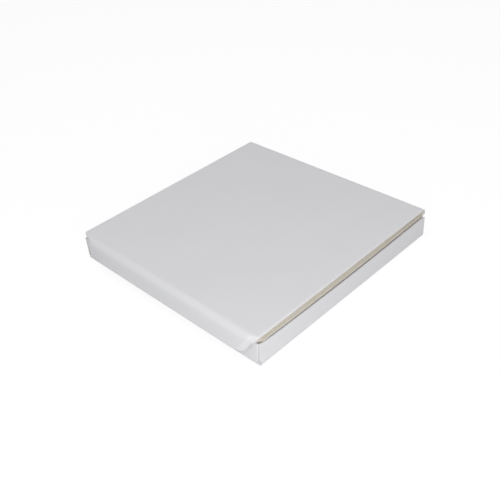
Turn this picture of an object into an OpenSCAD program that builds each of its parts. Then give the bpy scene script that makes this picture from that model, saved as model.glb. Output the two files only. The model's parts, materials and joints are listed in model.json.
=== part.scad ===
// Flat square box for a plate, folded from one blank of white-faced corrugated board.
// X runs across the rolled side walls, Y from the closing flap to the hinge, Z up.
// The origin is on the floor, under the centre of the closed box.

/* [Box] */
// Width of the tray over its two rolled side walls
tray_w = 201; // [150:1:300]
// Depth of the tray from front wall to back wall
tray_d = 203; // [170:1:300]
// Height of the closed box
box_h = 27.8; // [25:0.1:60]
// Thickness of the corrugated board
board = 4.3; // [3.6:0.1:5]

/* [Lid] */
// Width of the lid between its two cut edges
lid_w = 200; // [150:1:300]
// How far the lid has crept to the right over the tray
lid_creep = 0.7; // [0:0.1:3]
// Inner radius of the soft crease between the lid and the closing flap
crease_in_r = 1.5; // [0.5:0.1:2.5]
// Outer radius of the crease between the lid and the back wall
hinge_r = 3.6; // [2:0.1:4.2]
// Cut between two panels that swing on one crease
crease_cut = 0.3; // [0.2:0.05:0.6]
// Height of the lid's underside over the rolled side walls
lid_gap = 1.7; // [1.4:0.1:3]
// How far the lower liner droops open along the lid's cut edges
lip_droop = 1.2; // [0:0.1:1.4]
// Width of the strip that droops
lip_w = 7; // [3:0.5:12]

/* [Closing flap] */
// Height of the flap's lower edge above the floor
flap_lift = 9; // [3:0.5:12]
// How far each end of the flap tapers in at its lower edge
flap_taper = 13; // [5:0.5:30]
// Radius of the flap's two lower corners
flap_corner_r = 5; // [1:0.5:8]
// Gap between the hanging flap and the front wall
flap_gap = 0.3; // [0.3:0.1:2]

/* [Tray folds] */
// Outer radius of the folds along the floor
floor_fold_r = 2.2; // [1:0.1:3]
// Outer radius of the folds on top of the rolled side walls
roll_fold_r = 2; // [1:0.1:3.5]
// Outer radius of the upright folds between end wall and ear
ear_fold_r = 1.2; // [1:0.1:3.5]
// Length of the four ears that lie inside the rolled side walls
ear_l = 70; // [30:1:80]
// Play on each side of an ear, and under a rolled-in panel
roll_play = 0.3; // [0.2:0.05:0.6]
// Height of the inner bend of the crease over the front wall's cut edge
front_gap = 0.2; // [0.1:0.1:2]
// Thickness that a side wall's ends are crushed to over the corner folds
crushed_end = 0.8; // [0.8:0.1:2]
// Width of the slit at each upright corner
corner_slit = 0.5; // [0.3:0.1:1]

/* [Lock tabs] */
// Length of each tab that locks a rolled-in panel into the floor
tab_l = 28; // [12:1:40]
// Distance of each tab from the middle of its side wall
tab_offset = 45; // [25:1:60]
// Play round a tab in its slot
tab_play = 0.5; // [0.3:0.1:1]
// How far a tab stops short of the underside
tab_recess = 0.8; // [0.4:0.1:2]

/* [Flutes] */
// Length of one wave of the fluting
flute_pitch = 7.9; // [6:0.1:9]
// Thickness of each flat liner
liner = 0.45; // [0.3:0.05:0.8]
// Thickness of the waved paper
medium = 0.35; // [0.2:0.05:0.6]
// Length of flattened flutes beside a crease
flute_margin = 2; // [1:0.1:4]

/* [Hidden] */
$fn = 64;
far = 1000;
white_face = "#e6e6e9";

side_x = tray_w / 2;
end_y = tray_d / 2;
under_lid = box_h - board;
wall_top = under_lid - lid_gap;
front_top = under_lid - crease_in_r - front_gap;
roll_w = 3 * board + 2 * roll_play;
roll_in_x = side_x - roll_w;
roll_half_l = end_y - board - roll_play;
ear_out_x = side_x - board - roll_play;
end_wall_x = side_x - crushed_end - corner_slit;

flap_out_y = -end_y - flap_gap - board;
flap_in_y = flap_out_y + board;
crease_r = board + crease_in_r;
crease_y = flap_in_y + crease_in_r;
crease_z = box_h - crease_r;
mitre_back = crease_cut / sqrt(2);
// Length of the flap's outer face from the lid's flat top to its lower edge
flap_l = crease_r * PI / 2 + crease_z - flap_lift;

lid_right_x = lid_creep + lid_w / 2;
lid_left_x = lid_creep - lid_w / 2;
middle_x = (max(side_x, lid_right_x) + min(-side_x, lid_left_x)) / 2;
middle_y = (flap_out_y + end_y) / 2;

// A face drawn as depth against height, drawn out along X from x0 to x1
module along_x(x0, x1) {
    translate([x0, 0, 0])
        rotate([90, 0, 90])
            linear_extrude(x1 - x0) children();
}

// A face drawn as width against height, drawn out along Y from y0 to y1
module along_y(y0, y1) {
    translate([0, y1, 0])
        rotate([90, 0, 0])
            linear_extrude(y1 - y0) children();
}

module mirrored_x() {
    children();
    mirror([1, 0, 0]) children();
}

module mirrored_y() {
    children();
    mirror([0, 1, 0]) children();
}

// Flat rectangle from (x0, z0) to (x1, z1) whose top corners have the radii r0 and r1
module round_top(x0, x1, z0, z1, r0, r1) {
    translate([x0, z0]) square([r0, z1 - z0 - r0]);
    translate([x0 + r0, z0]) square([x1 - x0 - r0 - r1, z1 - z0]);
    translate([x0 + r0, z1 - r0]) circle(r0);
    if (r1 > 0) {
        translate([x1 - r1, z0]) square([r1, z1 - z0 - r1]);
        translate([x1 - r1, z1 - r1]) circle(r1);
    }
}

// The same with both bottom corners round
module round_bottom(x0, x1, z0, z1, r) {
    translate([0, z0 + z1]) mirror([0, 1]) round_top(x0, x1, z0, z1, r, r);
}

// Depth and height of everything under the outer face of the flap, lid and back wall
module creased_outer() {
    round_top(flap_out_y, end_y, 0, box_h, crease_r, hinge_r);
}

// Depth and height of the board that runs down the front, over the top and down the back
module creased_board() {
    difference() {
        creased_outer();
        translate([0, -1])
            round_top(flap_in_y, end_y - board, 0, under_lid + 1, crease_in_r, 0);
    }
}

// One hollow of the fluting, from the wave up to the liner, centred on a trough
module flute_hollow() {
    reach = 0.42;
    steps = 8;
    half_core = board / 2 - liner;
    swing = half_core - medium / 2;
    wave = [for (i = [0:steps])
        let (u = reach * (2 * i / steps - 1))
        [u * flute_pitch, medium / 2 - swing * cos(360 * u)]];
    polygon(concat(wave, [[reach * flute_pitch, half_core], [-reach * flute_pitch, half_core]]));
}

// A row of hollows that fills a length of board, turned up and down by turns
module flute_row(from, to) {
    half_pitch = flute_pitch / 2;
    count = floor((to - from - flute_pitch) / half_pitch) + 1;
    first = (from + to - (count - 1) * half_pitch) / 2;
    for (i = [0:count - 1])
        translate([first + i * half_pitch, 0])
            mirror([0, i % 2])
                flute_hollow();
}

// Floor panel, with a slot under each lock tab
module floor_panel() {
    slot_l = tab_l + 2 * tab_play;
    slot_w = board + 2 * tab_play;
    difference() {
        translate([-side_x, -end_y, 0]) cube([tray_w, tray_d, board]);
        mirrored_x() mirrored_y()
            translate([roll_in_x - tab_play, tab_offset - slot_l / 2, -1])
                cube([slot_w, slot_l, board + 2]);
    }
}

// Width and height of one rolled side wall: up, over the ears and down again
module roll_section() {
    difference() {
        round_top(roll_in_x, side_x, 0, wall_top, roll_fold_r, roll_fold_r);
        translate([roll_in_x + board, -1])
            square([roll_w - 2 * board, wall_top - board + 1]);
    }
}

// Plan of a side wall's outer panel, whose ends are crushed thin over the corner folds
module outer_panel_plan() {
    end = end_y - roll_play;
    inner = side_x - board;
    crushed_x = side_x - crushed_end;
    crush_y = end_y - board;
    full_y = crush_y - (board - crushed_end);
    polygon([
        [side_x, -end], [side_x, end], [crushed_x, end], [crushed_x, crush_y],
        [inner, full_y], [inner, -full_y], [crushed_x, -crush_y], [crushed_x, -end]
    ]);
}

// Rolled side wall on the right, with its two lock tabs
module rolled_wall() {
    intersection() {
        linear_extrude(wall_top) outer_panel_plan();
        along_y(-end_y, end_y) roll_section();
    }
    difference() {
        along_y(-roll_half_l, roll_half_l) roll_section();
        translate([roll_in_x - 1, -end_y, -1])
            cube([2 * board + 1, tray_d, board + roll_play + 1]);
        translate([side_x - board, -end_y, -1])
            cube([board + 1, tray_d, wall_top - board + 1]);
    }
    mirrored_y()
        translate([roll_in_x, tab_offset - tab_l / 2, tab_recess])
            cube([board, tab_l, 2 * board]);
}

// Plan of the wall at one end, between its two upright corner folds
module end_wall_plan() {
    translate([0, -end_y])
        mirrored_x() {
            square([end_wall_x - ear_fold_r, board]);
            translate([0, ear_fold_r]) square([end_wall_x, board - ear_fold_r]);
            translate([end_wall_x - ear_fold_r, ear_fold_r]) circle(ear_fold_r);
        }
}

// Plan of one ear, which steps inwards behind the corner fold
module ear_plan() {
    start = board - corner_slit;
    step = end_wall_x - ear_out_x;
    translate([0, -end_y])
        polygon([
            [end_wall_x, start - 1], [end_wall_x, start], [ear_out_x, start + step],
            [ear_out_x, ear_l], [ear_out_x - board, ear_l], [ear_out_x - board, start - 1]
        ]);
}

// The two ears of one end wall
module ears() {
    ear_z = board + roll_play;
    mirrored_x()
        translate([0, 0, ear_z])
            linear_extrude(wall_top - board - roll_play - ear_z) ear_plan();
}

// Outer form of the tray, with the folds along the floor and the hinge crease
module tray_outline() {
    intersection() {
        along_y(-end_y, end_y) round_bottom(-side_x, side_x, 0, box_h, floor_fold_r);
        along_x(-side_x, side_x)
            intersection() {
                round_bottom(-end_y, end_y, 0, box_h + floor_fold_r, floor_fold_r);
                creased_outer();
            }
    }
}

// Part of the back wall over the rolled side walls, as wide as the lid that hangs on it
module hinge_rail() {
    rail_z = wall_top + roll_play;
    intersection() {
        along_x(-lid_w / 2, lid_w / 2) back_wall_section();
        translate([-lid_w / 2, 0, rail_z]) cube([lid_w, tray_d, box_h - rail_z]);
    }
}

// Depth and height of the back wall, cut to a mitre at the hinge crease
module back_wall_section() {
    inner = end_y - board;
    polygon([
        [inner, 0], [end_y, 0], [end_y, box_h - mitre_back], [inner, under_lid - mitre_back]
    ]);
}

module tray() {
    color(white_face)
        translate([-middle_x, -middle_y, 0])
            intersection() {
                tray_outline();
                union() {
                    floor_panel();
                    mirrored_x() rolled_wall();
                    linear_extrude(front_top) end_wall_plan();
                    ears();
                    intersection() {
                        mirror([0, 1, 0]) linear_extrude(box_h) end_wall_plan();
                        along_x(-side_x, side_x) back_wall_section();
                    }
                    hinge_rail();
                    mirror([0, 1, 0]) ears();
                }
            }
}

// Depth and height of the lid panel, mitred at the creases that it hangs on
module lid_section() {
    low = under_lid - crease_in_r;
    reach = crease_in_r + mitre_back;
    intersection() {
        creased_board();
        polygon([
            [flap_in_y + reach, low], [end_y - board - reach, low],
            [end_y - mitre_back, box_h], [flap_out_y + mitre_back, box_h]
        ]);
    }
}

// How far the flap's ends have come in at a length along its outer face
function flap_inset(length) = flap_taper * length / flap_l;

// What is cut away beside one wedge of the front crease, square to the sheet at its middle
module crease_end(middle, half_turn) {
    lap = 0.02;
    length = crease_r * middle * PI / 180;
    half_l = crease_r * tan(half_turn) + lap;
    lid_side = lid_w / 2 - flap_inset(length - half_l);
    flap_side = lid_w / 2 - flap_inset(length + half_l);
    rotate([middle, 0, 0])
        intersection() {
            linear_extrude(crease_r + 1)
                mirrored_x()
                    polygon([
                        [lid_side, half_l], [lid_w, half_l], [lid_w, -half_l], [flap_side, -half_l]
                    ]);
            along_x(-lid_w, lid_w)
                polygon([
                    [-lap, 0], [lap, 0], [half_l, crease_r], [0, crease_r + 1], [-half_l, crease_r]
                ]);
        }
}

// What is cut away at both ends of the front crease, so that its ends lead into the flap's taper
module crease_ends() {
    wedges = 6;
    half_turn = 45 / wedges;
    translate([lid_creep, crease_y, crease_z])
        for (i = [0:wedges - 1])
            crease_end((2 * i + 1) * half_turn, half_turn);
}

// Width and height of the lower liner that droops open along the right cut edge
module drooping_lip() {
    polygon([
        [lid_right_x - lip_w, under_lid], [lid_right_x - lip_w, under_lid + liner],
        [lid_right_x, under_lid + liner], [lid_right_x, under_lid - lip_droop]
    ]);
}

// Width and height of the half flute that the right cut edge lays open
module edge_hollow() {
    wave_l = 0.42 * flute_pitch;
    steps = 6;
    top = box_h - liner;
    low = under_lid - lip_droop + liner + medium;
    edge = lid_right_x + 1;
    flank = [for (i = [0:steps])
        [lid_right_x - wave_l * (1 - i / steps), top - (top - low) * (1 - cos(180 * i / steps)) / 2]];
    polygon(concat(flank, [[edge, low], [edge, top]]));
}

// The child, and its mirror image about the lid's own middle
module on_both_lid_edges() {
    children();
    translate([2 * lid_creep, 0, 0]) mirror([1, 0, 0]) children();
}

module lid() {
    lip_from = flap_in_y + reach_of_crease();
    lip_to = end_y - board - reach_of_crease();
    color(white_face)
        translate([-middle_x, -middle_y, 0])
            difference() {
                union() {
                    along_x(lid_left_x, lid_right_x) lid_section();
                    on_both_lid_edges() along_y(lip_from, lip_to) drooping_lip();
                }
                on_both_lid_edges() along_y(lip_from, lip_to) edge_hollow();
                crease_ends();
            }
}

// Distance from a crease's inner face over which the flutes are flattened
function reach_of_crease() = crease_in_r + flute_margin;

// Depth and height of the closing flap, mitred at the front crease
module flap_section() {
    intersection() {
        creased_board();
        polygon([
            [flap_out_y, flap_lift], [crease_y, flap_lift],
            [crease_y, crease_z - mitre_back],
            [flap_out_y, box_h - mitre_back]
        ]);
    }
}

// Front view of the flap: ends that taper in under the crease, and two round lower corners
module flap_outline() {
    flap_h = box_h - flap_lift;
    hanging_h = crease_z - flap_lift;
    lean = atan(flap_taper / flap_l);
    corner_in = flap_corner_r * tan((90 - lean) / 2);
    half_low = lid_w / 2 - flap_taper;
    half_high = half_low + flap_inset(hanging_h);
    corner_x = half_low - corner_in;
    translate([lid_creep, flap_lift])
        mirrored_x() {
            difference() {
                polygon([
                    [0, 0], [half_low, 0], [half_high, hanging_h],
                    [lid_w / 2, hanging_h], [lid_w / 2, flap_h], [0, flap_h]
                ]);
                translate([corner_x, -1])
                    square([far, flap_corner_r + 1 - flap_corner_r * sin(lean)]);
            }
            translate([corner_x, flap_corner_r]) circle(flap_corner_r);
        }
}

module front_flap() {
    flutes_top = under_lid - reach_of_crease();
    color(white_face)
        translate([-middle_x, -middle_y, 0])
            difference() {
                intersection() {
                    along_x(lid_left_x, lid_right_x) flap_section();
                    along_y(flap_out_y - 1, crease_y + 1) flap_outline();
                }
                crease_ends();
                translate([lid_creep, (flap_out_y + flap_in_y) / 2, flap_lift - 1])
                    linear_extrude(flutes_top - flap_lift + 1)
                        flute_row(-lid_w / 2, lid_w / 2);
            }
}

tray();
lid();
front_flap();
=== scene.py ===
"""Dresses a flat square plate box, folded from white-faced corrugated board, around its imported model.

Three boards carry the box: the folded tray, the lid and the closing flap. Their outer liner is one sheet
that runs from the closing flap over the lid, and another that runs from the lid down the back wall, so the
white face stays whole where the box bends.
"""
import json
import logging
import math
from collections.abc import Callable, Iterable
from contextlib import contextmanager
from dataclasses import dataclass
from enum import Enum

import bpy
from mathutils import Matrix, Vector


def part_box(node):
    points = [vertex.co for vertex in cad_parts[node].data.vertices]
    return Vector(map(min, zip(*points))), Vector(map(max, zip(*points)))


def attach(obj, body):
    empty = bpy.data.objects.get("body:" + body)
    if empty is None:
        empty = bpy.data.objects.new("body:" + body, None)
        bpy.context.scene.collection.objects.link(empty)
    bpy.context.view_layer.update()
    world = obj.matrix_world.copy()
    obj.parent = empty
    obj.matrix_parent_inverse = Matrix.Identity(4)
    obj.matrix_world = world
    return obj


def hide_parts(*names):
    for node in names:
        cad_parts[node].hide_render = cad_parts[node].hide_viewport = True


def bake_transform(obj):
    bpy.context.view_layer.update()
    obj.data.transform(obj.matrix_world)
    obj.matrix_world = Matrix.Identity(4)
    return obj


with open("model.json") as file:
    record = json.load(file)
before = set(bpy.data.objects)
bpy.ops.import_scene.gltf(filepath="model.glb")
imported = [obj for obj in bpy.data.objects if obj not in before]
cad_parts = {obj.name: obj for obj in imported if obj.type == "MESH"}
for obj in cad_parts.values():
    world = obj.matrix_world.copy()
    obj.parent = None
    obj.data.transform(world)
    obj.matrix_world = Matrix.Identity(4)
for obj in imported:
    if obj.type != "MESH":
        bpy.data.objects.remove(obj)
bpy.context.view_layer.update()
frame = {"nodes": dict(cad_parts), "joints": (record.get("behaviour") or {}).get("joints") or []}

LOG = logging.getLogger("plate_box")
MM = 0.001
NEAR = 0.03 * MM
MERGE = 0.001 * MM
NodeSocket = bpy.types.NodeSocket
Object = bpy.types.Object


class Surface(Enum):
    """The kinds of paper surface on the box, by the material slot that each takes."""

    WHITE = 0
    KRAFT = 1
    EDGE = 2
    # the lid's lip, whose paler paint is a painted highlight
    LIP = 3


def linear_colour(code: str) -> tuple[float, float, float, float]:
    """Turn an sRGB hex colour into the linear colour that a shader takes.

    Args:
        code: The colour as six hex digits after a hash sign.

    Returns:
        Red, green, blue and alpha, all from 0 to 1.
    """
    channels = [int(code[i:i + 2], 16) / 255 for i in (1, 3, 5)]
    linear = [c / 12.92 if c <= 0.04045 else ((c + 0.055) / 1.055) ** 2.4 for c in channels]
    return linear[0], linear[1], linear[2], 1.0


def add_node(tree: bpy.types.NodeTree, kind: str, settings: dict[str, object] | None = None,
             inputs: dict[str | int, object] | None = None) -> bpy.types.Node:
    """Add one node to a tree, with its settings and links.

    Args:
        tree: The node tree of a material or the world.
        kind: The node's type name.
        settings: Properties to set on the node.
        inputs: Values, or sockets to link, by the input's name or number.

    Returns:
        The new node.
    """
    node = tree.nodes.new(kind)
    for name, value in (settings or {}).items():
        setattr(node, name, value)
    for name, value in (inputs or {}).items():
        if isinstance(value, NodeSocket):
            tree.links.new(value, node.inputs[name])
        else:
            node.inputs[name].default_value = value
    return node


@dataclass(frozen=True)
class PaperFinish:
    """One paper surface of the board, with its sizes in millimetres.

    The tufts are the fibre bundles that lie along the sheet's machine direction, and the clouds are the
    thicker and thinner places of its formation. The washboard is the fluting that shows through a liner.
    """

    name: str
    colour: str
    shade: str
    roughness: float
    specular: float
    tuft_w: float
    tuft_l: float
    tuft_share: float
    tuft_height: float
    cloud: float
    cloud_share: float
    flute_pitch: float = 7.9
    washboard: float = 0.0

    def build(self) -> bpy.types.Material:
        """Build the finish as a procedural material.

        Returns:
            The material, which reads Object coordinates.
        """
        material = bpy.data.materials.new(self.name)
        material.use_nodes = True
        tree = material.node_tree
        tree.nodes.clear()
        place = add_node(tree, "ShaderNodeTexCoord").outputs["Object"]
        clouds = self._noise(tree, place, (self.cloud,) * 3, 3.0)
        tufts = self._noise(tree, place, (self.tuft_w, self.tuft_l, self.tuft_w), 4.0)
        cloudy = add_node(tree, "ShaderNodeMath", {"operation": "MULTIPLY"},
                          {0: clouds, 1: self.cloud_share})
        tone = add_node(tree, "ShaderNodeMath", {"operation": "MULTIPLY_ADD", "use_clamp": True},
                        {0: tufts, 1: self.tuft_share, 2: cloudy.outputs[0]})
        mixed = add_node(tree, "ShaderNodeMix", {"data_type": "RGBA"},
                         {0: tone.outputs[0], 6: linear_colour(self.colour), 7: linear_colour(self.shade)})
        normal = add_node(tree, "ShaderNodeBump", None,
                          {"Height": tufts, "Distance": self.tuft_height * MM}).outputs["Normal"]
        if self.washboard:
            normal = self._washboard(tree, place, normal)
        shader = add_node(tree, "ShaderNodeBsdfPrincipled", None,
                          {"Base Color": mixed.outputs[2], "Roughness": self.roughness,
                           "Specular IOR Level": self.specular, "Normal": normal})
        add_node(tree, "ShaderNodeOutputMaterial", None, {"Surface": shader.outputs[0]})
        return material

    def _noise(self, tree: bpy.types.NodeTree, place: NodeSocket, cell: tuple[float, float, float],
               detail: float) -> NodeSocket:
        """Add a noise whose cells have a real size.

        Args:
            tree: The material's node tree.
            place: The coordinates in metres.
            cell: The cell's size along X, Y and Z.
            detail: How many finer layers the noise has.

        Returns:
            The noise's value, from 0 to 1.
        """
        scaled = add_node(tree, "ShaderNodeMapping", None,
                          {"Vector": place, "Scale": tuple(1 / (c * MM) for c in cell)})
        noise = add_node(tree, "ShaderNodeTexNoise", None,
                         {"Vector": scaled.outputs[0], "Scale": 1.0, "Detail": detail})
        return noise.outputs["Fac"]

    def _washboard(self, tree: bpy.types.NodeTree, place: NodeSocket, normal: NodeSocket) -> NodeSocket:
        """Let the flutes, which run along Y, show through the liner as soft ridges.

        Args:
            tree: The material's node tree.
            place: The coordinates in metres.
            normal: The normal that the ridges are laid over.

        Returns:
            The new normal.
        """
        across = add_node(tree, "ShaderNodeSeparateXYZ", None, {0: place}).outputs["X"]
        phase = add_node(tree, "ShaderNodeMath", {"operation": "MULTIPLY"},
                         {0: across, 1: math.tau / (self.flute_pitch * MM)})
        ridge = add_node(tree, "ShaderNodeMath", {"operation": "SINE"}, {0: phase.outputs[0]})
        bump = add_node(tree, "ShaderNodeBump", None,
                        {"Height": ridge.outputs[0], "Distance": self.washboard * MM, "Normal": normal})
        return bump.outputs["Normal"]


# Bleached top liner: smooth machine finish, matte, with a cool white and hardly any fibre to see
WHITE_TOP_LINER = PaperFinish("white_top_liner", "#E8E8EB", "#DFDFE2", 0.62, 0.3, 0.35, 2.2, 0.5, 0.012,
                              34.0, 0.4, washboard=0.010)
# Unbleached kraft liner: warm brown with long fibre tufts that show as streaks along the flutes
KRAFT_LINER = PaperFinish("kraft_liner", "#C7AE88", "#A98E68", 0.78, 0.2, 0.45, 4.5, 0.75, 0.03, 18.0, 0.25)
# Die-cut edge of the board: crushed fluting between two liners, greyer than the liner's face
CUT_EDGE = PaperFinish("kraft_cut_edge", "#E4E0D5", "#C2BBAC", 0.9, 0.12, 0.5, 1.6, 0.8, 0.08, 9.0, 0.3)
# Cut edge of the lower liner along the lid's lip: painted paler than the cut edge, a painted highlight for
# the light that the lip catches
LIP_PAINTED_HIGHLIGHT = PaperFinish("lip_painted_highlight", "#EFEAE0", "#D8D0C1", 0.9, 0.12, 0.4, 1.2, 0.6, 0.06, 7.0, 0.3)


class Editor:
    """Selects parts of a mesh by their place and runs edit mode operators on them."""

    def __init__(self, piece: Object) -> None:
        """Take the piece that is worked on."""
        self.piece = piece

    @contextmanager
    def edit(self, test: Callable[[Vector], bool] | None = None) -> Iterable[None]:
        """Enter edit mode with some vertices selected, and leave it afterwards.

        Args:
            test: Says whether a vertex at a place is selected, or None for all of them.

        Yields:
            Nothing, once the mesh is in edit mode.
        """
        activate(self.piece)
        bpy.ops.object.mode_set(mode="EDIT")
        bpy.ops.mesh.select_mode(type="VERT")
        bpy.ops.mesh.select_all(action="SELECT" if test is None else "DESELECT")
        if test is not None:
            bpy.ops.object.mode_set(mode="OBJECT")
            for vertex in self.piece.data.vertices:
                vertex.select = test(vertex.co)
            bpy.ops.object.mode_set(mode="EDIT")
        yield
        bpy.ops.object.mode_set(mode="OBJECT")

    def move(self, rule: Callable[[Vector], Vector]) -> None:
        """Move every vertex to the place that a rule gives for it."""
        for vertex in self.piece.data.vertices:
            vertex.co = rule(vertex.co.copy())

    def cut_across(self, axis: tuple[float, float, float], places: Iterable[float]) -> None:
        """Cut the mesh by planes, so that it can bend or change its finish there.

        Args:
            axis: The direction that the planes lie across.
            places: The planes' distances from the origin along the axis.
        """
        for place in places:
            with self.edit():
                bpy.ops.mesh.bisect(plane_co=Vector(axis) * place, plane_no=axis)

    def modify(self, kind: str, **settings: object) -> None:
        """Add a modifier with its settings and apply it.

        Args:
            kind: The modifier's type.
            settings: Properties to set on it.
        """
        activate(self.piece)
        modifier = self.piece.modifiers.new(kind, kind)
        for name, value in settings.items():
            setattr(modifier, name, value)
        bpy.ops.object.modifier_apply(modifier=modifier.name)

    def soften(self, angle: float = 35.0) -> None:
        """Shade the mesh smooth, with flat panels kept flat.

        Args:
            angle: The sharpest bend that is shaded smooth, in degrees.
        """
        activate(self.piece)
        bpy.ops.object.shade_smooth_by_angle(angle=math.radians(angle))
        self.modify("WEIGHTED_NORMAL", keep_sharp=True)


def activate(piece: Object) -> None:
    """Select one piece alone and make it the active one.

    Args:
        piece: The piece that the next operators work on.
    """
    if bpy.context.object is not None and bpy.context.object.mode != "OBJECT":
        bpy.ops.object.mode_set(mode="OBJECT")
    bpy.ops.object.select_all(action="DESELECT")
    piece.select_set(True)
    bpy.context.view_layer.objects.active = piece


def copy_of_node(node: str, name: str) -> Object:
    """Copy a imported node's mesh into a new piece, merged into whole shells.

    Args:
        node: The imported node's name.
        name: The new piece's name.

    Returns:
        The new piece.
    """
    piece = bpy.data.objects.new(name, frame["nodes"][node].data.copy())
    bpy.context.scene.collection.objects.link(piece)
    piece.data.materials.clear()
    activate(piece)
    bpy.ops.mesh.customdata_custom_splitnormals_clear()
    with Editor(piece).edit():
        bpy.ops.mesh.remove_doubles(threshold=MERGE)
    return piece


def grid_sheet(name: str, low: tuple[float, float], high: tuple[float, float], height: float,
               columns: int, rows: int) -> Object:
    """Add a flat grid of paper at its size and place.

    Args:
        name: The piece's name.
        low: Lowest X and Y of the sheet.
        high: Highest X and Y of the sheet.
        height: The sheet's height.
        columns: How many faces it has along X.
        rows: How many faces it has along Y.

    Returns:
        The sheet, with its place in its mesh.
    """
    bpy.ops.object.select_all(action="DESELECT")
    centre = ((low[0] + high[0]) / 2, (low[1] + high[1]) / 2, height)
    bpy.ops.mesh.primitive_grid_add(x_subdivisions=columns, y_subdivisions=rows, size=1, location=centre)
    piece = bpy.context.object
    piece.name = name
    piece.scale = (high[0] - low[0], high[1] - low[1], 1)
    bpy.ops.object.transform_apply(location=True, rotation=True, scale=True)
    return piece


def smooth_step(value: float, start: float, end: float) -> float:
    """Rise smoothly from 0 to 1.

    Args:
        value: The value that is looked up.
        start: Where the rise begins.
        end: Where it ends, on either side of the start.

    Returns:
        The share of the rise, from 0 to 1.
    """
    share = min(1.0, max(0.0, (value - start) / (end - start)))
    return share * share * (3 - 2 * share)


@dataclass(frozen=True)
class Board:
    """The one blank that the box is folded from, with its sizes in metres."""

    thickness: float = 4.3 * MM
    liner: float = 0.35 * MM
    crease_in_r: float = 1.5 * MM
    hinge_r: float = 3.6 * MM
    crease_cut: float = 0.3 * MM

    @property
    def crease_r(self) -> float:
        """Outer radius of the crease between the lid and the closing flap."""
        return self.thickness + self.crease_in_r


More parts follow.
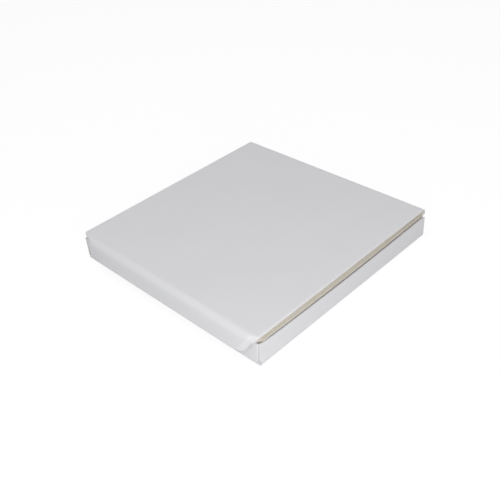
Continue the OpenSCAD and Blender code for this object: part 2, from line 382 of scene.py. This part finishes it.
@dataclass
class Outline:
    """The outline of the closed box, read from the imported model, in metres."""

    board: Board
    flap_taper: float = 13 * MM
    shoulder: float = 1.8 * MM
    press_front: float = 1.0 * MM
    press_back: float = 0.5 * MM
    end_press: float = 2.7 * MM
    end_run: float = 7 * MM
    edge_columns: tuple[float, ...] = (7 * MM, 5.5 * MM, 4.2 * MM, 3 * MM, 1.8 * MM, 1.3 * MM, 0.9 * MM,
                                       0.5 * MM, 0.2 * MM, 0.0)
    skew_left: float = 2.6 * MM
    skew_right: float = 1.6 * MM
    crease_start: float = 5 * MM
    closed_from: float = 2.4 * MM
    closed_to: float = 11 * MM
    end_cut: float = 1.8 * MM
    end_cut_count: int = 11

    def __post_init__(self) -> None:
        """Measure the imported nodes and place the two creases."""
        board = self.board
        self.tray_low, self.tray_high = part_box("tray")
        self.lid_low, self.lid_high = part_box("lid")
        self.flap_low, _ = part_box("front_flap")
        self.top = self.lid_high.z
        self.back = self.tray_high.y
        self.front = self.flap_low.y
        self.crease_y = self.front + board.crease_r
        self.crease_z = self.top - board.crease_r
        self.hinge_y = self.back - board.hinge_r
        self.hinge_z = self.top - board.hinge_r
        self.lid_x = (self.lid_low.x + self.lid_high.x) / 2
        self.lid_half = (self.lid_high.x - self.lid_low.x) / 2
        self.tray_x = (self.tray_low.x + self.tray_high.x) / 2
        self.flap_l = board.crease_r * math.pi / 2 + self.crease_z - self.flap_low.z
        self.pivots = {joint["name"]: Vector(joint["pos_m"]) for joint in frame["joints"]}

    def on_sheet(self, place: Vector) -> tuple[Vector, float, float]:
        """Find where a point lies in the sheet that runs over the lid, the front crease and the flap.

        Args:
            place: A point of the sheet.

        Returns:
            The sheet's outward normal, the depth under its outer face, and the length from the lid's
            flat top.
        """
        board = self.board
        if place.y > self.crease_y:
            return Vector((0, 0, 1)), self.top - place.z, 0.0
        if place.z < self.crease_z:
            length = board.crease_r * math.pi / 2 + self.crease_z - place.z
            return Vector((0, -1, 0)), place.y - self.front, length
        arm = Vector((0, place.y - self.crease_y, place.z - self.crease_z))
        length = board.crease_r * math.atan2(-arm.y, arm.z)
        return arm.normalized(), board.crease_r - arm.length, length

    def end_cuts(self) -> list[float]:
        """List the places along X where the sheet is cut, to be pressed at both its ends.

        Returns:
            The places, from one end to the other.
        """
        inboard = [self.end_cut / 2] + [self.end_cut * step for step in range(1, self.end_cut_count + 1)]
        places = [self.lid_half - distance for distance in inboard]
        return [self.lid_x - place for place in places] + [self.lid_x + place for place in places]

    def closed_end(self, centre: Vector, normal: Vector) -> bool:
        """Say whether a face is at an end of the crease, where the outer liner is drawn over the board.

        Args:
            centre: The face's centre.
            normal: The face's normal.

        Returns:
            True for the end faces between the lid's flat top and the flap's.
        """
        return abs(normal.x) > 0.5 and self.closed_from < self.on_sheet(centre)[2] < self.closed_to

    def half_width(self, place: Vector) -> float:
        """Work out how far the cut edge lies from the lid's middle, along the lid, the crease and the flap.

        Args:
            place: A point of the sheet.

        Returns:
            Half the sheet's width there, which the flap's taper narrows from the crease on.
        """
        length = self.on_sheet(place)[2]
        return self.lid_half - self.flap_taper * length / self.flap_l

    def tucked(self, place: Vector) -> Vector:
        """Push a point of a board's outer face in by the liner's thickness.

        Args:
            place: A point of the board.

        Returns:
            The point, at least a liner's thickness under the box's outline.
        """
        board = self.board
        deep = board.liner
        for centre_y, centre_z, radius, side in (
                (self.crease_y, self.crease_z, board.crease_r, -1),
                (self.hinge_y, self.hinge_z, board.hinge_r, 1)):
            arm = Vector((0, place.y - centre_y, place.z - centre_z))
            if arm.y * side > 0 and arm.z > 0 and arm.length > radius - deep:
                return Vector((place.x, centre_y, centre_z)) + arm.normalized() * (radius - deep)
        if place.z > self.hinge_z:
            place.z = min(place.z, self.top - deep)
        place.y = max(place.y, self.front + deep)
        return place

    def pressed(self, place: Vector) -> Vector:
        """Press the sheet down beside its cut edges, and flatten the ends of the crease and the flap.

        Args:
            place: A point of the lid, of the flap or of their liner.

        Returns:
            The point, moved into the board near a cut edge.
        """
        normal, depth, length = self.on_sheet(place)
        inboard = self.half_width(place) - abs(place.x - self.lid_x)
        near_edge = min(1.0, max(0.0, 1 - inboard / self.shoulder))
        along = (place.y - self.front) / (self.back - self.front)
        press = self.press_front + (self.press_back - self.press_front) * along
        near_face = smooth_step(depth, 2 * press + self.board.liner, self.board.liner)
        drop = press * near_face * (1 - math.sqrt(1 - near_edge ** 2))
        flattened = self.end_press * smooth_step(length, 0.0, self.crease_start)
        flattened *= smooth_step(inboard, self.end_run, 0.0) * max(0.0, 1 - depth / self.board.thickness)
        return place - normal * max(drop, flattened)

    def skewed(self, place: Vector) -> Vector:
        """Shift the flap sideways, as it hangs a little askew on its soft crease.

        Args:
            place: A point of the sheet.

        Returns:
            The point, moved towards +X beyond the lid's flat top.
        """
        length = self.on_sheet(place)[2]
        across = (place.x - self.lid_x) / self.lid_half
        right = self.skew_right * (1 - length / self.flap_l)
        shift = (self.skew_left * (1 - across) + right * (1 + across)) / 2
        place.x += shift * smooth_step(length, 0.0, self.crease_start)
        return place


class Outfit:
    """Dresses finished meshes with materials by face."""

    def __init__(self) -> None:
        """Build the paper finishes once, in the order of the surfaces."""
        self.materials = [finish.build() for finish in (WHITE_TOP_LINER, KRAFT_LINER, CUT_EDGE, LIP_PAINTED_HIGHLIGHT)]

    def dress(self, piece: Object, rule: Callable[[Vector, Vector], Surface]) -> None:
        """Give each face the surface that a rule names for it.

        Args:
            piece: The piece to dress.
            rule: Names the surface of a face from its centre and its normal.
        """
        piece.data.materials.clear()
        for material in self.materials:
            piece.data.materials.append(material)
        for face in piece.data.polygons:
            face.material_index = rule(face.center, face.normal).value
        LOG.info("%s: %d faces", piece.name, len(piece.data.polygons))


@dataclass
class Tray:
    """The folded tray, whose side walls are rolled double over the ears."""

    outline: Outline
    play: float = 0.3 * MM
    crushed_end: float = 0.8 * MM
    corner_slit: float = 0.5 * MM
    floor_fold_r: float = 2.2 * MM
    roll_fold_r: float = 2 * MM
    ear_fold_r: float = 1.2 * MM
    lid_gap: float = 1.7 * MM
    tab_recess: float = 0.8 * MM
    settled_fold_r: float = 0.9 * MM
    held_end: float = 6 * MM
    settling: float = 2 * MM
    sag: float = 1.5 * MM
    end_step: float = 1.0 * MM
    slit_open: float = 0.4 * MM
    stations: int = 16
    corner_cuts: tuple[float, ...] = (1.3 * MM, 3 * MM, 5.5 * MM, 9 * MM)

    @property
    def side(self) -> float:
        """Half the tray's width."""
        return (self.outline.tray_high.x - self.outline.tray_low.x) / 2

    @property
    def end(self) -> float:
        """Half the tray's depth."""
        return (self.outline.tray_high.y - self.outline.tray_low.y) / 2

    @property
    def middle_y(self) -> float:
        """The middle of the tray's depth."""
        return (self.outline.tray_high.y + self.outline.tray_low.y) / 2

    @property
    def roll_in(self) -> float:
        """Distance of the rolled-in panels' inner faces from the tray's middle."""
        return self.side - 3 * self.outline.board.thickness - 2 * self.play

    @property
    def wall_top(self) -> float:
        """Height of the rolled side walls."""
        return self.outline.top - self.outline.board.thickness - self.lid_gap

    @property
    def rail_z(self) -> float:
        """Height from which the back wall is as wide as the lid."""
        return self.wall_top + self.play

    @property
    def flat_half(self) -> float:
        """Half the width of an end wall between its rounded corner folds."""
        return self.side - self.crushed_end - self.corner_slit - self.ear_fold_r

    def build(self, outfit: Outfit) -> Object:
        """Make the tray's board.

        Args:
            outfit: Dresses the piece.

        Returns:
            The piece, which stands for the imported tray.
        """
        piece = copy_of_node("tray", "tray_board")
        editor = Editor(piece)
        outline = self.outline
        low, high = outline.tray_low.y, outline.tray_high.y
        step = (high - low) / self.stations
        cuts = [low + cut for cut in self.corner_cuts] + [high - self.corner_cuts[0]]
        editor.cut_across((0, 1, 0), cuts + [low + step * i for i in range(1, self.stations)])
        editor.cut_across((1, 0, 0), [outline.tray_x - self.roll_in, outline.tray_x + self.roll_in])
        outfit.dress(piece, self.surface)
        editor.move(self.creased)
        editor.move(self.settled)
        editor.move(self.tucked)
        editor.soften()
        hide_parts("tray")
        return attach(piece, "tray")

    def creased(self, place: Vector) -> Vector:
        """Crease the rolled walls' outer folds tight, set their crushed ends back and open the front slits.

        Args:
            place: A point of the tray.

        Returns:
            The point, moved out on a fold, and in at a wall's end or beside a slit.
        """
        side = math.copysign(1, place.x - self.outline.tray_x)
        out = (place.x - self.outline.tray_x) * side
        arm_x = out - (self.side - self.roll_fold_r)
        arm_z = place.z - (self.wall_top - self.roll_fold_r)
        on_fold = min(arm_x, arm_z) > -NEAR and math.hypot(arm_x, arm_z) > self.roll_fold_r - NEAR
        if on_fold and place.z < self.wall_top + NEAR:
            share = self.settled_fold_r / self.roll_fold_r
            out = self.side - self.settled_fold_r + arm_x * share
            place.z = self.wall_top - self.settled_fold_r + arm_z * share
        end_gap = self.end - abs(place.y - self.middle_y)
        if out > self.side - self.crushed_end - NEAR and end_gap < NEAR:
            place.y -= math.copysign(self.end_step, place.y - self.middle_y)
        beside_slit = self.flat_half + NEAR < out < self.side - self.crushed_end - NEAR
        if beside_slit and place.y < self.middle_y:
            out -= self.slit_open * smooth_step(end_gap, 3 * self.ear_fold_r, 2 * self.ear_fold_r)
        place.x = self.outline.tray_x + out * side
        return place

    def settled(self, place: Vector) -> Vector:
        """Let the rolled side walls settle and sag behind the front corners that hold them up.

        Args:
            place: A point of the tray.

        Returns:
            The point, lowered if it is in a side wall.
        """
        from_front = place.y - self.outline.tray_low.y
        sag = self.settling * (1 - math.exp(-from_front / self.held_end))
        sag += self.sag * math.sin(math.pi * from_front / (2 * self.end))
        in_wall = abs(place.x - self.outline.tray_x) > self.roll_in - self.play
        if in_wall and place.z < self.wall_top + self.play / 2:
            place.z -= sag * smooth_step(place.z, self.wall_top / 3, self.wall_top)
        return place

    def tucked(self, place: Vector) -> Vector:
        """Push the top of the back wall in under its liner.

        Args:
            place: A point of the tray.

        Returns:
            The point, moved in if the liner covers it.
        """
        flat = abs(place.x - self.outline.tray_x) < self.flat_half + NEAR
        if place.z > self.rail_z - NEAR or (flat and place.z > self.wall_top):
            place = self.outline.tucked(place)
            place.y = min(place.y, self.outline.back - self.outline.board.liner)
        return place

    def surface(self, centre: Vector, normal: Vector) -> Surface:
        """Name the surface of one face.

        Args:
            centre: The face's centre.
            normal: The face's normal.

        Returns:
            White for what was the blank's outer face, kraft for its inner face, else a cut edge.
        """
        board = self.outline.board
        x = abs(centre.x - self.outline.tray_x)
        y = abs(centre.y - self.middle_y)
        outward = math.copysign(normal.x, normal.x * (centre.x - self.outline.tray_x))
        endward = math.copysign(normal.y, normal.y * (centre.y - self.middle_y))
        if centre.z < self.floor_fold_r and normal.z < -0.05:
            return Surface.EDGE if abs(centre.z - self.tab_recess) < NEAR else Surface.WHITE
        if x > self.roll_in - NEAR and self._in_roll(centre, normal, x, outward):
            return Surface.WHITE
        if endward > 0.05 and y > self.end - board.thickness - NEAR:
            return Surface.WHITE
        if normal.z > 0.9 and abs(centre.z - board.thickness) < NEAR:
            return Surface.KRAFT if x < self.roll_in else Surface.WHITE
        if endward < -0.9 and abs(y - (self.end - board.thickness)) < NEAR:
            return Surface.KRAFT
        return Surface.EDGE

    def _in_roll(self, centre: Vector, normal: Vector, x: float, outward: float) -> bool:
        """Say whether a face beside a rolled side wall was part of the blank's outer face.

        Args:
            centre: The face's centre.
            normal: The face's normal.
            x: The distance of the face's centre from the tray's middle.
            outward: How far the face looks away from the tray's middle.

        Returns:
            True for the wall's faces and its rounded top, and for the ears' outer faces.
        """
        on_top = normal.z > 0.05 and centre.z > self.wall_top - self.roll_fold_r - NEAR
        inside = x < self.roll_in + NEAR and outward < -0.9
        return on_top or inside or x > self.side - NEAR or outward > 0.3


@dataclass
class Lid:
    """The lid panel, whose cut edges have drooped open between the creases."""

    outline: Outline
    lip: float = 7 * MM
    crease_step: float = 1.2 * MM
    crease_cuts: int = 4
    lip_edge: float = 0.8 * MM
    packed_droop: float = 1.2 * MM
    front_droop: float = 1.25 * MM
    back_droop: float = 0.5 * MM
    swell: float = 1.4 * MM
    stations: int = 20

    def build(self, outfit: Outfit) -> Object:
        """Make the lid's board.

        Args:
            outfit: Dresses the piece.

        Returns:
            The piece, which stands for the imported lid.
        """
        piece = copy_of_node("lid", "lid_board")
        editor = Editor(piece)
        outline = self.outline
        step = (outline.back - outline.front) / self.stations
        editor.cut_across((0, 1, 0), [outline.front + step * i for i in range(1, self.stations)])
        crease_places = [outline.crease_y - self.crease_step * i for i in range(self.crease_cuts)]
        editor.cut_across((0, 1, 0), crease_places)
        editor.cut_across((1, 0, 0), outline.end_cuts())
        outfit.dress(piece, self.surface)
        editor.move(self.drooped)
        editor.move(outline.tucked)
        editor.move(outline.pressed)
        editor.move(outline.skewed)
        editor.soften()
        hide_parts("lid")
        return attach(piece, "lid")

    def drooped(self, place: Vector) -> Vector:
        """Move the lower liner at a cut edge to where it hangs at that place along the lid.

        Args:
            place: A point of the lid.

        Returns:
            The point, lowered or raised near a cut edge.
        """
        outline = self.outline
        if place.y < outline.crease_y + NEAR:
            return place
        inboard = outline.lid_half - abs(place.x - outline.lid_x)
        along = (place.y - outline.front) / (outline.back - outline.front)
        hang = self.front_droop + (self.back_droop - self.front_droop) * along
        hang += self.swell * math.sin(math.pi * along)
        share = max(0.0, 1 - inboard / self.lip)
        depth = outline.top - outline.board.liner - place.z
        low = max(0.0, min(1.0, depth / outline.board.thickness))
        place.z -= (hang - self.packed_droop) * share * low
        return place

    def surface(self, centre: Vector, normal: Vector) -> Surface:
        """Name the surface of one face.

        Args:
            centre: The face's centre.
            normal: The face's normal.

        Returns:
            White at the crease's ends, kraft underneath, the lip with its painted highlight along the
            edges, else a cut edge.
        """
        outline = self.outline
        if outline.closed_end(centre, normal):
            return Surface.WHITE
        lip_top = outline.top - outline.board.thickness + self.lip_edge - self.packed_droop
        on_edge = abs(centre.x - outline.lid_x) > outline.lid_half - NEAR
        # The lower liner's edge along the lip gets the paler paint of a painted highlight
        if on_edge and abs(normal.x) > 0.9 and centre.z < lip_top:
            return Surface.LIP
        return Surface.KRAFT if normal.z < -0.5 else Surface.EDGE


@dataclass
class ClosingFlap:
    """The closing flap, whose flutes stand open at its lower edge and its tapered ends."""

    outline: Outline
    rows: int = 8

    def build(self, outfit: Outfit) -> Object:
        """Make the flap's board.

        Args:
            outfit: Dresses the piece.

        Returns:
            The piece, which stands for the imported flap.
        """
        piece = copy_of_node("front_flap", "flap_board")
        editor = Editor(piece)
        outline = self.outline
        rise = (outline.crease_z - outline.flap_low.z) / self.rows
        editor.cut_across((0, 0, 1), [outline.flap_low.z + rise * i for i in range(1, self.rows + 1)])
        editor.cut_across((1, 0, 0), outline.end_cuts())
        outfit.dress(piece, self.surface)
        editor.move(self.outline.tucked)
        editor.move(self.outline.pressed)
        editor.move(self.outline.skewed)
        editor.soften()
        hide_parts("front_flap")
        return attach(piece, "front_flap")

    def surface(self, centre: Vector, normal: Vector) -> Surface:
        """Name the surface of one face.

        Args:
            centre: The face's centre.
            normal: The face's normal.

        Returns:
            White at the crease's ends, kraft on the inner face, else a cut edge.
        """
        if self.outline.closed_end(centre, normal):
            return Surface.WHITE
        inner = self.outline.front + self.outline.board.thickness
        return Surface.KRAFT if normal.y > 0.5 and centre.y > inner - NEAR else Surface.EDGE


@dataclass
class CoverLiner:
    """The white sheet over the lid, round the front crease and down the closing flap."""

    outline: Outline
    corner_r: float = 5 * MM
    seam_margin: float = 3 * MM
    arc_steps: int = 12
    corner_steps: int = 7
    flap_rows: int = 5

    @property
    def lean(self) -> float:
        """Angle of the flap's tapered ends from the upright."""
        return math.atan(self.outline.flap_taper / self.outline.flap_l)

    @property
    def seam(self) -> float:
        """Where this sheet meets the hinge's sheet, on the flat of the lid."""
        return self.outline.hinge_y - self.seam_margin

    def build(self, outfit: Outfit) -> Object:
        """Make the sheet.

        Args:
            outfit: Dresses the piece.

        Returns:
            The piece, which bends from the lid to the flap.
        """
        outline, board = self.outline, self.outline.board
        piece = lid_sheet(outline, "cover_liner", outline.crease_y, self.seam, 16)
        editor = Editor(piece)
        with editor.edit(lambda p: p.y < outline.crease_y + NEAR):
            bpy.ops.mesh.spin(steps=self.arc_steps, angle=math.radians(-90), axis=(1, 0, 0),
                              center=(0, outline.crease_y, outline.crease_z))
        pull_down(editor, outline.crease_z, self.row_heights())
        editor.move(self.die_cut)
        editor.move(outline.pressed)
        editor.move(outline.skewed)
        finish_liner(editor, board.liner)
        outfit.dress(piece, lambda centre, normal: Surface.WHITE)
        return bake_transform(piece)

    def row_heights(self) -> list[float]:
        """Work out the heights of the flap's rows, from the crease down to its lower edge.

        Returns:
            The heights, with the last ones spaced round the lower corners.
        """
        low = self.outline.flap_low.z
        turn = math.pi / 2 - self.lean
        corner = [low + self.corner_r * (1 - math.cos(turn * i / self.corner_steps))
                  for i in range(self.corner_steps, -1, -1)]
        drop = self.outline.crease_z - corner[0]
        straight = [self.outline.crease_z - drop * i / self.flap_rows for i in range(1, self.flap_rows)]
        return straight + corner

    def die_cut(self, place: Vector) -> Vector:
        """Narrow the crease and the flap to the flap's tapered ends and round lower corners.

        Args:
            place: A point of the sheet at the lid's full width.

        Returns:
            The point, moved towards the middle.
        """
        outline = self.outline
        half = outline.half_width(place)
        height = place.z - outline.flap_low.z
        if place.y < outline.crease_y and height < self.corner_r * (1 - math.sin(self.lean)):
            corner_in = self.corner_r * math.tan((math.pi / 2 - self.lean) / 2)
            rise = max(0.0, self.corner_r ** 2 - (self.corner_r - height) ** 2)
            half = outline.lid_half - outline.flap_taper - corner_in + math.sqrt(rise)
        place.x = outline.lid_x + (place.x - outline.lid_x) * half / outline.lid_half
        return place


def lid_sheet(outline: Outline, name: str, low_y: float, high_y: float, rows: int) -> Object:
    """Add a flat sheet over the lid, with narrow columns beside the lid's two cut edges.

    Args:
        outline: The outline of the closed box.
        name: The piece's name.
        low_y: The sheet's front edge.
        high_y: The sheet's back edge.
        rows: How many faces it has along Y.

    Returns:
        The sheet.
    """
    columns = outline.edge_columns
    inner = outline.lid_half - columns[0]
    low = (outline.lid_x - inner, low_y)
    piece = grid_sheet(name, low, (outline.lid_x + inner, high_y), outline.top, 16, rows)
    editor = Editor(piece)
    for side in (-1, 1):
        for column, next_column in zip(columns, columns[1:]):
            edge = outline.lid_half - column
            step = side * (column - next_column)
            with editor.edit(lambda p, e=edge, s=side: (p.x - outline.lid_x) * s > e - NEAR):
                bpy.ops.mesh.extrude_region_move(TRANSFORM_OT_translate={"value": (step, 0, 0)})
    return piece


def pull_down(editor: Editor, start: float, heights: Iterable[float]) -> None:
    """Draw a sheet's lowest edge down in rows.

    Args:
        editor: Works on the sheet.
        start: The height of its lowest edge.
        heights: The heights of the new rows, from the top down.
    """
    lowest = start
    for height in heights:
        with editor.edit(lambda p, z=lowest: p.z < z + NEAR):
            bpy.ops.mesh.extrude_region_move(TRANSFORM_OT_translate={"value": (0, 0, height - lowest)})
        lowest = height


def finish_liner(editor: Editor, thickness: float) -> None:
    """Turn a sheet's faces outwards, give it the liner's thickness inwards and shade it.

    Args:
        editor: Works on the sheet.
        thickness: The liner's thickness.
    """
    with editor.edit():
        bpy.ops.mesh.remove_doubles(threshold=MERGE)
        bpy.ops.mesh.normals_make_consistent(inside=False)
    top = max(editor.piece.data.polygons, key=lambda face: face.center.z)
    if top.normal.z < 0:
        with editor.edit():
            bpy.ops.mesh.flip_normals()
    editor.modify("SOLIDIFY", thickness=thickness, offset=-1.0)
    editor.soften()


@dataclass
class HingeLiner:
    """The white sheet from the back of the lid, round the hinge crease and down the back wall."""

    outline: Outline
    tray: Tray
    seam: float
    arc_steps: int = 12
    wall_rows: int = 4

    def build(self, outfit: Outfit) -> Object:
        """Make the sheet.

        Args:
            outfit: Dresses the piece.

        Returns:
            The piece, which bends from the tray to the lid.
        """
        outline, board = self.outline, self.outline.board
        piece = lid_sheet(outline, "hinge_liner", self.seam, outline.hinge_y, 1)
        editor = Editor(piece)
        with editor.edit(lambda p: p.y > outline.hinge_y - NEAR):
            bpy.ops.mesh.spin(steps=self.arc_steps, angle=math.radians(90), axis=(1, 0, 0),
                              center=(0, outline.hinge_y, outline.hinge_z))
        below_rail = self.tray.rail_z - self.tray.play
        step = (below_rail - self.tray.floor_fold_r) / self.wall_rows
        rows = [below_rail - step * i for i in range(self.wall_rows + 1)]
        pull_down(editor, outline.hinge_z, [self.tray.rail_z] + rows)
        editor.move(outline.pressed)
        editor.move(self.die_cut)
        finish_liner(editor, board.liner)
        outfit.dress(piece, lambda centre, normal: Surface.WHITE)
        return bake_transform(piece)

    def die_cut(self, place: Vector) -> Vector:
        """Set the sheet over the back wall from the middle of the crease on, and narrow it under the rail.

        Args:
            place: A point of the sheet at the lid's place and width.

        Returns:
            The point, moved to the back wall.
        """
        outline = self.outline
        if place.z > outline.pivots["lid_hinge"].z - NEAR:
            return place
        half = self.tray.flat_half if place.z < self.tray.rail_z - NEAR else outline.lid_half
        place.x = outline.tray_x + (place.x - outline.lid_x) * half / outline.lid_half
        return place


@dataclass
class CreaseCore:
    """The crushed fluting in a crease."""

    outline: Outline
    joint: str
    bodies: tuple[str, str]
    name: str
    half: float
    depth: float
    columns: int = 10

    def build(self, outfit: Outfit) -> Object:
        """Make the core.

        Args:
            outfit: Dresses the piece.

        Returns:
            The piece, which lies in the crease.
        """
        outline, board = self.outline, self.outline.board
        pivot = outline.pivots[self.joint]
        side = 1 if pivot.y < 0 else -1
        outer = pivot + Vector((0, side, -1)).normalized() * board.liner
        low = (outline.lid_x - self.half, -board.crease_cut / 2)
        high = (outline.lid_x + self.half, board.crease_cut / 2)
        piece = grid_sheet(self.name, low, high, 0, 4, self.columns)
        editor = Editor(piece)
        lean = Matrix.Rotation(math.radians(45 * side), 4, "X")
        editor.move(lambda p: outer + lean @ p)
        editor.modify("SOLIDIFY", thickness=self.depth - board.liner, offset=-1.0)
        editor.soften()
        outfit.dress(piece, lambda centre, normal: Surface.KRAFT)
        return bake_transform(piece)


def crease_cores(outline: Outline) -> tuple[CreaseCore, CreaseCore]:
    """Work out the cores of the two creases.

    Args:
        outline: The outline of the closed box.

    Returns:
        The core between lid and flap, and the core between tray and lid.
    """
    board = outline.board
    end_gap = 0.6 * MM
    front_half = outline.half_width(outline.pivots["flap_hinge"]) - outline.end_run - outline.skew_left
    back_half = outline.lid_half - (outline.lid_x - outline.tray_x) - end_gap
    back_depth = math.sqrt(2) * (board.thickness - board.hinge_r) + board.hinge_r
    return (CreaseCore(outline, "flap_hinge", ("lid", "front_flap"), "front_crease_core", front_half,
                       board.thickness),
            CreaseCore(outline, "lid_hinge", ("tray", "lid"), "hinge_crease_core", back_half, back_depth))


@dataclass(frozen=True)
class SoftLamp:
    """One soft studio lamp."""

    name: str
    azimuth: float
    elevation: float
    distance: float
    width: float
    length: float
    power: float

    def hang(self, aim: Vector) -> None:
        """Hang the lamp and point it.

        Args:
            aim: The point that the lamp faces.
        """
        lamp = bpy.data.lights.new(self.name, "AREA")
        lamp.shape = "RECTANGLE"
        lamp.size = self.width
        lamp.size_y = self.length
        lamp.energy = self.power
        holder = bpy.data.objects.new(self.name, lamp)
        away = direction_back(self.azimuth, self.elevation)
        holder.location = aim + away * self.distance
        holder.rotation_mode = "QUATERNION"
        holder.rotation_quaternion = (-away).to_track_quat("-Z", "Y")
        holder.visible_camera = False
        bpy.context.scene.collection.objects.link(holder)


def direction_back(azimuth: float, elevation: float) -> Vector:
    """Give the direction from the object to a viewer.

    Args:
        azimuth: The turn round Z in degrees, where 0 looks along +Y.
        elevation: The height over the horizon in degrees.

    Returns:
        The direction, of length 1.
    """
    turn, rise = math.radians(azimuth), math.radians(elevation)
    return Vector((math.sin(turn) * math.cos(rise), -math.cos(turn) * math.cos(rise), math.sin(rise)))


@dataclass
class Studio:
    """The pale floor, the soft lamps and the camera at the photograph's angle."""

    frame_px: float = 500
    sensor: float = 36.0
    azimuth: float = 46.586
    elevation: float = 36.069
    roll: float = -4.591
    distance: float = 602.7 * MM
    focal_px: float = 707.9
    target: tuple[float, float, float] = (-0.89 * MM, -4.2 * MM, 0.0)
    floor_size: float = 8.0
    floor_drop: float = 0.02 * MM
    white: str = "#FFFFFF"
    floor_paint: str = "#F2F2F2"
    sky_strength: float = 0.42
    shadow_share: float = 0.16
    floor_glow: float = 0.88
    lamps: tuple[SoftLamp, ...] = (
        SoftLamp("camera_side_softbox", 50, 22, 0.62, 0.30, 0.30, 1.2),
        SoftLamp("overhead_softbox", 10, 78, 1.30, 0.90, 0.90, 4.8),
    )

    def build(self) -> None:
        """Set up the whole studio."""
        self._floor()
        self._world()
        for lamp in self.lamps:
            lamp.hang(Vector((0, 0, 0)))
        self._camera()
        bpy.context.scene.view_settings.view_transform = "Standard"
        LOG.info("studio: %d lamps", len(self.lamps))

    def _floor(self) -> None:
        """Lay a white floor that keeps a faint shadow and throws light back up at the box."""
        half = self.floor_size / 2
        floor = grid_sheet("floor", (-half, -half), (half, half), -self.floor_drop, 1, 1)
        material = bpy.data.materials.new("white_floor")
        material.use_nodes = True
        tree = material.node_tree
        tree.nodes.clear()
        paint = add_node(tree, "ShaderNodeBsdfDiffuse", None, {"Color": linear_colour(self.floor_paint)})
        shadow = add_node(tree, "ShaderNodeBsdfDiffuse", None, {"Color": (self.shadow_share,) * 3 + (1,)})
        glow = add_node(tree, "ShaderNodeEmission", None,
                        {"Color": linear_colour(self.white), "Strength": self.floor_glow})
        seen = add_node(tree, "ShaderNodeAddShader", None, {0: shadow.outputs[0], 1: glow.outputs[0]})
        path = add_node(tree, "ShaderNodeLightPath")
        mixed = add_node(tree, "ShaderNodeMixShader", None,
                         {0: path.outputs["Is Camera Ray"], 1: paint.outputs[0], 2: seen.outputs[0]})
        add_node(tree, "ShaderNodeOutputMaterial", None, {"Surface": mixed.outputs[0]})
        floor.data.materials.append(material)

    def _world(self) -> None:
        """Light the box evenly from all round, and show plain white behind it."""
        world = bpy.data.worlds.new("white_room")
        bpy.context.scene.world = world
        world.use_nodes = True
        tree = world.node_tree
        tree.nodes.clear()
        path = add_node(tree, "ShaderNodeLightPath")
        seen = path.outputs["Is Camera Ray"]
        for ray in ("Is Glossy Ray", "Is Transmission Ray"):
            seen = add_node(tree, "ShaderNodeMath", {"operation": "MAXIMUM"},
                            {0: seen, 1: path.outputs[ray]}).outputs[0]
        white = linear_colour(self.white)
        sky = add_node(tree, "ShaderNodeBackground", None, {"Color": white, "Strength": self.sky_strength})
        backdrop = add_node(tree, "ShaderNodeBackground", None, {"Color": white, "Strength": 1.0})
        mixed = add_node(tree, "ShaderNodeMixShader", None,
                         {0: seen, 1: sky.outputs[0], 2: backdrop.outputs[0]})
        add_node(tree, "ShaderNodeOutputWorld", None, {"Surface": mixed.outputs[0]})

    def _camera(self) -> None:
        """Place the camera that was fitted to the box's corners in the photograph."""
        lens = bpy.data.cameras.new("camera")
        lens.sensor_width = self.sensor
        lens.lens = self.focal_px / self.frame_px * self.sensor
        camera = bpy.data.objects.new("camera", lens)
        back = direction_back(self.azimuth, self.elevation)
        right = Vector((0, 0, 1)).cross(back).normalized()
        up = back.cross(right)
        turn = math.radians(self.roll)
        rolled_right = right * math.cos(turn) + up * math.sin(turn)
        rolled_up = up * math.cos(turn) - right * math.sin(turn)
        axes = Matrix((rolled_right, rolled_up, back)).transposed().to_4x4()
        camera.matrix_world = Matrix.Translation(Vector(self.target) + back * self.distance) @ axes
        bpy.context.scene.collection.objects.link(camera)
        bpy.context.scene.camera = camera


def main() -> None:
    """Build the box and its studio."""
    logging.basicConfig(level=logging.INFO, format="%(name)s %(message)s")
    Studio().build()
    outfit = Outfit()
    outline = Outline(Board())
    tray = Tray(outline)
    cover = CoverLiner(outline)
    tray.build(outfit)
    Lid(outline).build(outfit)
    ClosingFlap(outline).build(outfit)
    cover.build(outfit)
    HingeLiner(outline, tray, cover.seam).build(outfit)
    for core in crease_cores(outline):
        core.build(outfit)


if __name__ == "__main__":
    main()
